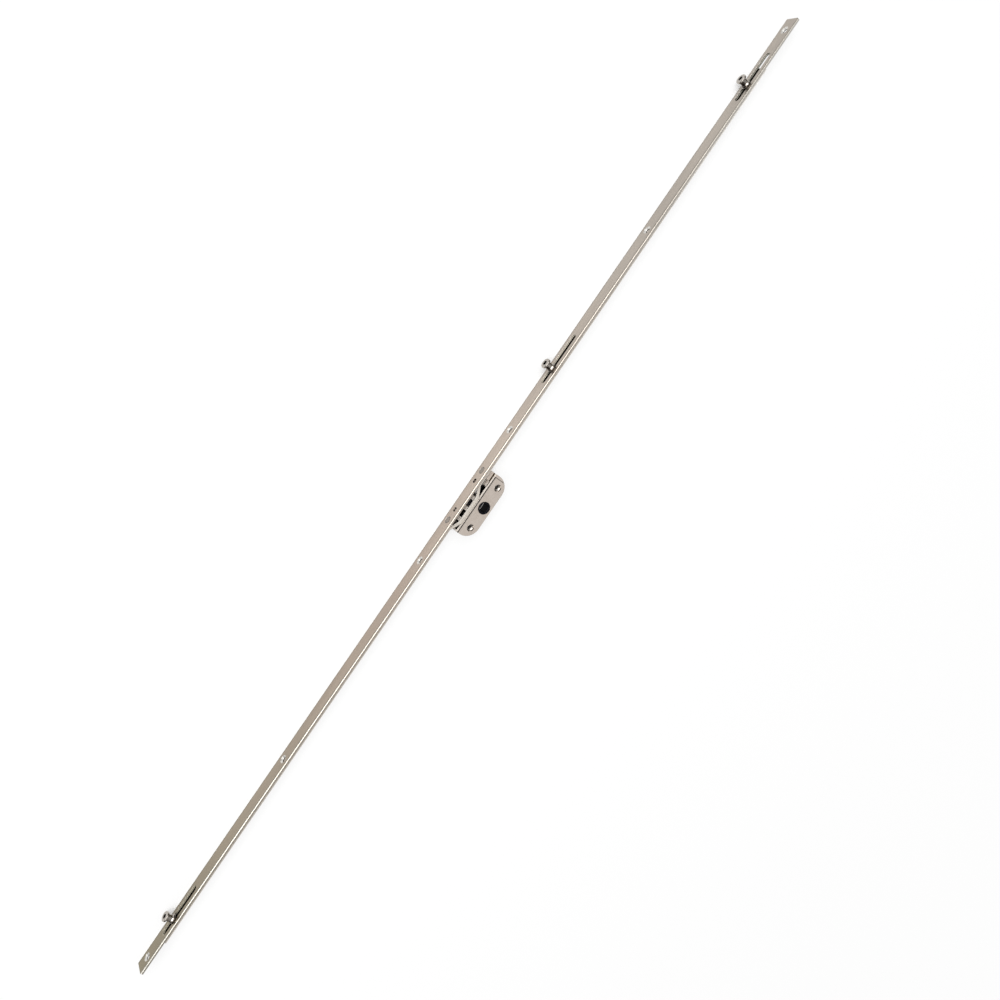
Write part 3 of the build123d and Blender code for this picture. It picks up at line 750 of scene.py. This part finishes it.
ground = Finish(bpy.data.materials.new("ground_flush"))
lay = ground.noise(ground.place((60, 1500, 1500)), 1.0, 4.0, 0.6)
post_tint = ground.mix(lay, (0.25, 0.22, 0.19, 1), (0.40, 0.36, 0.32, 1))
along_post, across_post = abs(ground.axis("X")) - post_place, ground.axis("Z")
from_centre = ground.node("ShaderNodeMath", {"operation": "SQRT"},
                          {0: along_post * along_post + across_post * across_post})
# A dark line round each head, and painted shade that blackens each post deeper than the head
head_line_and_shade = (from_centre > rivet_head / 2 - head_line) + (ground.axis("Y") < front - bright_depth)
post_tint = ground.mix(head_line_and_shade * 0.92, post_tint, (0.01, 0.009, 0.008, 1))
post_metal = ground.metal(post_tint, 0.38 + lay * 0.15, lay, 0.008 * mm)

flush_head = [(shank, head_low), (rivet_head / 2, head_low), (rivet_head / 2, front - lip),
              (rivet_head / 2 - lip, front - below_flush)]
posts = {
    "lower_case_post": (-post_place, [(shank, trough_floor - tail), (shank, trough_floor),
                                      (shoulder, trough_floor), (shoulder, web_back), (shank, web_back)]),
    "upper_case_rivet": (post_place, [(shank, web_back - rivet_length)]),
}
for node, (place, profile) in posts.items():
    post = bmesh.new()
    stack(post, profile + flush_head, centre=(place, 0))
    finished("ground_" + node, post, "case", post_metal, [node])

# Mushroom cams: turned steel, set off centre on the stem they turn on, with a hexagon socket for adjustment.
# Each seat is a flanged bush riveted into the rod, and a washer sits under the riveted end of the stem.
running_gap = 0.15 * mm
flange_back = front + running_gap
flange_depth = 0.8 * mm
flange_front = flange_back + flange_depth
flange_break = 0.25 * mm
seat_radius = 4.5 * mm
barrel = 3.0 * mm
seat_tail = 2.3 * mm
seat_bore = 1.55 * mm
crown_height = 9.2 * mm
crown = front + crown_height
foot = flange_front + running_gap
foot_radius = 3.8 * mm
foot_depth = 0.9 * mm
foot_break = 0.15 * mm
neck = 3.2 * mm
head = 4.75 * mm
head_depth = 2.2 * mm
head_back = crown - head_depth
head_edge = 0.7 * mm
dish = 3.7 * mm
dish_depth = 0.5 * mm
dish_rim = 0.15 * mm
dish_rim_depth = 0.1 * mm
dish_floor = 0.4 * mm
key = 4.0 * mm
key_depth = 3.0 * mm
key_reach = key / 2 / cos(pi / 6)
off_centre = 0.6 * mm
stem = 1.5 * mm
washer_radius = 4.0 * mm
washer_depth = 0.6 * mm
washer_break = 0.1 * mm
washer_gap = 0.04 * mm
washer_top = rod_back - washer_gap
washer_back = washer_top - washer_depth
stem_gap = 0.08 * mm
stem_end = rod_back - washer_depth - stem_gap
stem_head = 2.4 * mm
stem_head_depth = 0.8 * mm
stem_head_break = 0.3 * mm

# The plating is worn all over. Shade is painted on the neck's lower side, under the head, in the socket and
# behind the flange.
key_corner = 0.25 * mm
key_floor = 0.2 * mm
shade_skin = 0.05 * mm
neck_start = 0.4 * mm
head_shade_below, head_shade_above = 0.7 * mm, 0.25 * mm
cam_plate = Finish(bpy.data.materials.new("cam_plating"))
swirl = cam_plate.noise(cam_plate.place((500, 3000, 500)), 1.0, 3.0, 0.6)
wear = cam_plate.noise(cam_plate.place((1, 0.12, 1)), 1100.0, 3.0, 0.6)
worn = cam_plate.ramp(wear, (0.3, 0.0), (0.7, 1.0))
cam_tint = cam_plate.mix(worn, (0.29, 0.26, 0.23, 1), (0.60, 0.56, 0.51, 1))
nearest_cam = cam_plate.axis("X").nearest(cam_places)
out_of_cam = cam_plate.axis("Y")
beside_cam = cam_plate.axis("Z") - off_centre
painted_key_shade = nearest_cam * nearest_cam + beside_cam * beside_cam < (key / 2 + key_corner) ** 2
painted_key_shade = painted_key_shade * out_of_cam.between(crown - key_depth - key_floor, crown - dish_depth)
in_shade = out_of_cam < flange_front - shade_skin
on_neck = out_of_cam.between(foot + neck_start, head_back)
painted_neck_shade = cam_plate.ramp(cam_plate.facing("X") * -1, (0.25, 0.0), (0.5, 0.9)) * on_neck
painted_head_shadow = out_of_cam.between(head_back - head_shade_below, head_back + head_shade_above)
cam_tint = cam_plate.mix(painted_neck_shade + painted_head_shadow * 0.6, cam_tint, (0.045, 0.034, 0.028, 1))
cam_tint = cam_plate.mix(painted_key_shade + in_shade * 0.9, cam_tint, (0.012, 0.010, 0.009, 1))
cam_metal = cam_plate.metal(cam_tint, 0.10 + swirl * 0.06 + wear * 0.06, swirl, 0.004 * mm)
for cam_name, x in zip(("lower", "middle", "upper"), cam_places):
    seat = bmesh.new()
    flanged = [(seat_bore, rod_back), (seat_tail, rod_back), (seat_tail, rod_front), (barrel, rod_front),
               (barrel, flange_back), (seat_radius, flange_back), (seat_radius, flange_front - flange_break),
               (seat_radius - flange_break, flange_front), (seat_bore, flange_front), (seat_bore, rod_back)]
    sleeve(seat, flanged, centre=(x, 0))
    finished(cam_name + "_flanged_seat", seat, "rod", cam_metal, [cam_name + "_cam_seat"])

    cam = bmesh.new()
    round_over = arc((head - head_edge, head_back + head_edge), head_edge, -90, 0, 4)
    round_over += arc((head - head_edge, crown - head_edge), head_edge, 0, 90, 4)
    flare = arc((neck + foot_depth, head_back - foot_depth), foot_depth, 180, 90, 4)
    base = [(foot_radius - foot_break, foot), (foot_radius, foot + foot_break),
            (foot_radius, foot + foot_depth), (neck, foot + 2 * foot_depth)]
    dished = [(dish + dish_rim, crown), (dish, crown - dish_rim_depth),
              (dish * 0.55, crown - dish_depth * 0.8), (dish_floor, crown - dish_depth)]
    stack(cam, base + flare + round_over + dished, centre=(x, off_centre))
    socket = bmesh.new()
    upright = Matrix.Translation((x, crown, off_centre)) @ Matrix.Rotation(pi / 2, 4, "X")
    bmesh.ops.create_cone(socket, cap_ends=True, segments=6, radius1=key_reach, radius2=key_reach,
                          depth=key_depth * 2, matrix=upright @ Matrix.Rotation(pi / 6, 4, "Z"))
    cam = cut(cam, socket)
    pin = bmesh.new()
    stack(pin, [(stem_head - stem_head_break, stem_end - stem_head_depth),
                (stem_head, stem_end - stem_head_depth + stem_head_break), (stem_head, stem_end),
                (stem, stem_end), (stem, foot + past)], centre=(x, 0))
    cam = cut(cam, pin, "UNION")
    finished(cam_name + "_turned_cam", cam, cam_name + "_cam", cam_metal,
             [cam_name + "_mushroom_cam"])

    disc = bmesh.new()
    flat = [(seat_bore, washer_back), (washer_radius - washer_break, washer_back),
            (washer_radius, washer_back + washer_break), (washer_radius, washer_top - washer_break),
            (washer_radius - washer_break, washer_top), (seat_bore, washer_top), (seat_bore, washer_back)]
    sleeve(disc, flat, centre=(x, 0))
    finished(cam_name + "_pressed_washer", disc, "rod", zinc, [cam_name + "_cam_washer"])
